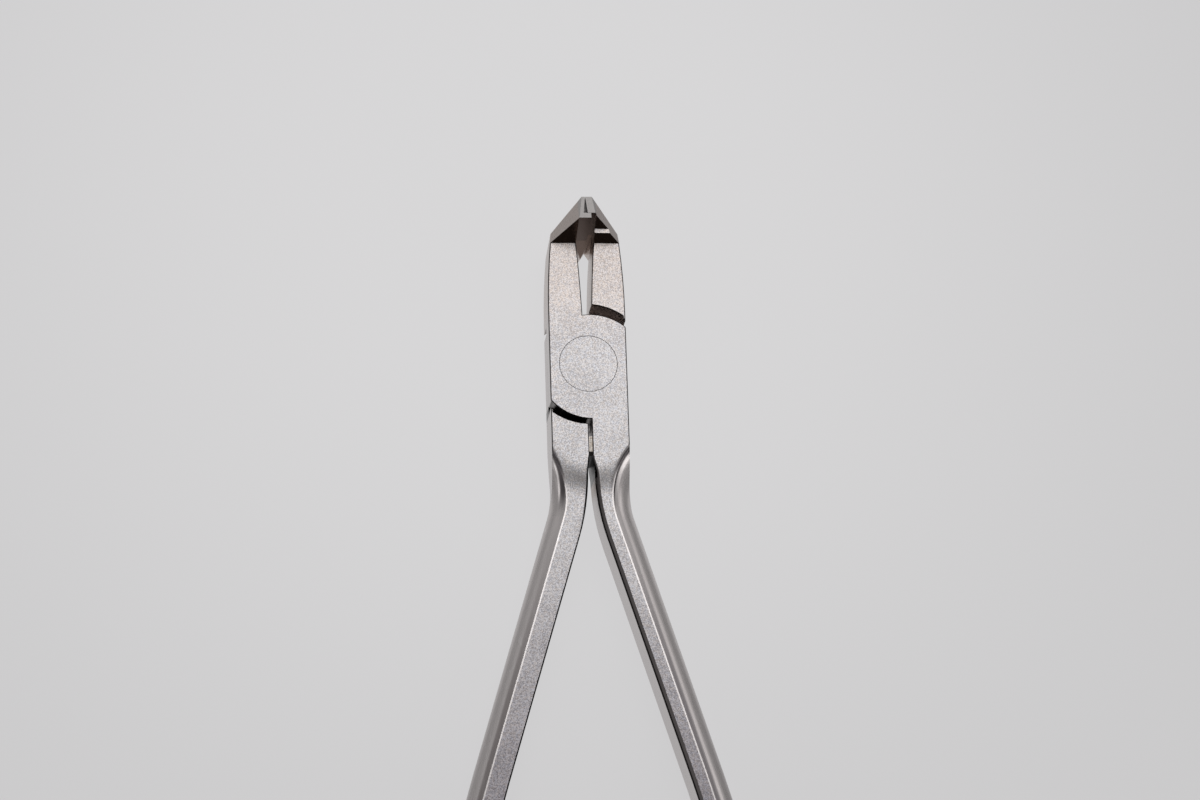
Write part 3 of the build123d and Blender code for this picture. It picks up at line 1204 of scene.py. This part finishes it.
@dataclass(frozen=True)
class Room:
    """The room that the steel reflects: lit beyond the jaws and softly at both sides."""

    tone: Triple = (1.0, 0.99, 1.0)
    backdrop: Triple = (0.730, 0.724, 0.731)
    beyond_jaws: Step = Step(0.1, 0.62, 0.05, 0.6)
    at_sides: Step = Step(0.66, 0.84, 0.05, 0.39)
    cards: tuple[Card, ...] = (
        Card((-0.88, 0.16, 0.42), Step(0.05, 0.30, 0.95, 0.0)),
        Card((-0.69, -0.12, 0.71), Step(0.05, 0.20, 1.3, 0.0)),
        Card((0.90, 0.32, 0.22), Step(0.05, 0.34, 1.0, 0.0)),
        Card((0.80, -0.14, 0.58), Step(0.05, 0.22, 1.9, 0.0)),
        Card((0.71, 0.41, 0.57), Step(0.03, 0.14, 1.5, 0.0)),
    )

    def build(self) -> None:
        """Builds the world's light."""
        world = bpy.data.worlds.new("studio")
        bpy.context.scene.world = world
        world.use_nodes = True
        sheet = NodeSheet(world.node_tree)
        background = world.node_tree.nodes["Background"]
        towards = sheet.add("ShaderNodeTexCoord").outputs["Generated"]
        across, along, _ = sheet.split(towards)
        level = sheet.compute(
            "MAXIMUM",
            sheet.step(along, self.beyond_jaws),
            sheet.step(sheet.compute("ABSOLUTE", across), self.at_sides),
        )
        for card in self.cards:
            level = sheet.compute("MAXIMUM", level, card.level(sheet, towards))
        seen = sheet.add("ShaderNodeLightPath").outputs["Is Camera Ray"]
        sheet.feed(background.inputs["Color"], sheet.blend(seen, self.tone, self.backdrop))
        sheet.feed(background.inputs["Strength"], sheet.blend_number(seen, level, 1.0))


@dataclass(frozen=True)
class Softbox:
    """A wide soft light above the table, beyond the jaws."""

    width: float = 0.62
    depth: float = 0.38
    power: float = 1.2
    place: Triple = (0.06, 0.31, 0.68)

    def build(self) -> None:
        """Hangs the light so that it faces the pivot."""
        lamp = bpy.data.lights.new("softbox", "AREA")
        lamp.shape = "RECTANGLE"
        lamp.size = self.width
        lamp.size_y = self.depth
        lamp.energy = self.power
        holder = bpy.data.objects.new("softbox", lamp)
        bpy.context.scene.collection.objects.link(holder)
        holder.location = self.place
        holder.rotation_mode = "QUATERNION"
        holder.rotation_quaternion = (-Vector(self.place)).to_track_quat("-Z", "Y")


@dataclass
class Studio:
    """The table, the room, the light and the camera."""

    parts: tuple[Table | Room | Softbox | Lens, ...] = (Table(), Room(), Softbox(), Lens())

    def build(self) -> None:
        """Builds the whole studio."""
        for part in self.parts:
            part.build()
            LOG.info("Studio: %s is set up", type(part).__name__)
        bpy.context.scene.view_settings.view_transform = "Standard"


def main() -> None:
    """Loads the frame, dresses the pliers and sets up the studio."""
    logging.basicConfig(level=logging.INFO, format="%(message)s")
    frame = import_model()
    bpy.ops.object.select_all(action="DESELECT")

    shelf = EffectShelf()
    shelf.build()
    for part in (ArmPair(), InsertPair(), Pivot()):
        part.dress(frame, shelf)
    Studio().build()


if __name__ == "__main__":
    main()
